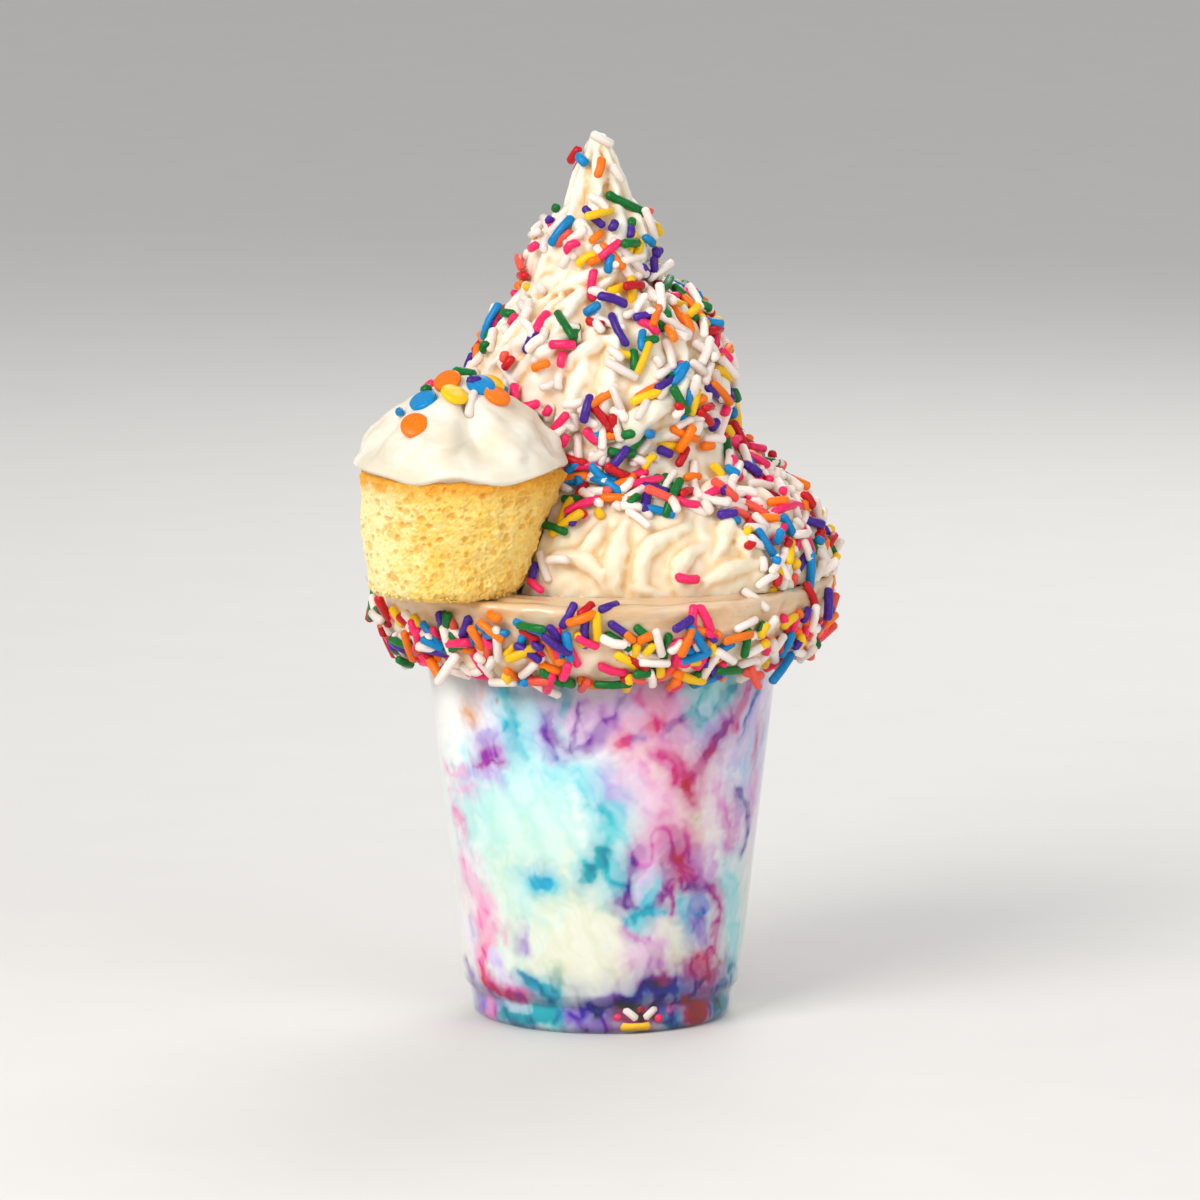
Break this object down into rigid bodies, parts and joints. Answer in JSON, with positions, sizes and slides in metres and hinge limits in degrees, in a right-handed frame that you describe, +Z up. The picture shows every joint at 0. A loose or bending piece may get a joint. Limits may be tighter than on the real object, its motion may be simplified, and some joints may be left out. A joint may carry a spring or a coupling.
{
  "type": "frozen yogurt cup",
  "caption": "Clear tapered cup of marbled frozen yogurt under a tall piped swirl, with an icing collar round its rim, a small frosted cupcake perched on it and coloured sprinkles.",
  "frame": {"origin": "middle of the cup's underside, on the surface that it stands on", "axes": "+Z up along the cup's axis, -Y towards the viewer of the picture, so that the cupcake is at -X and -Y"},
  "size_m": [0.1177, 0.1145, 0.221],
  "materials": {
    "clear_plastic": "clear and glossy",
    "marbled_yogurt": "smooth, marbled with cyan, pink and purple",
    "icing": "glossy icing with sprinkles",
    "cream": "soft satin cream with sprinkles",
    "sponge": "porous sponge cake",
    "white_frosting": "soft satin frosting"
  },
  "bodies": {
    "root": {"cup": "clear_plastic", "frozen_yogurt": "marbled_yogurt", "icing_collar": "icing", "yogurt_swirl": "cream", "cupcake": "sponge", "frosting": "white_frosting"}
  },
  "joints": []
}
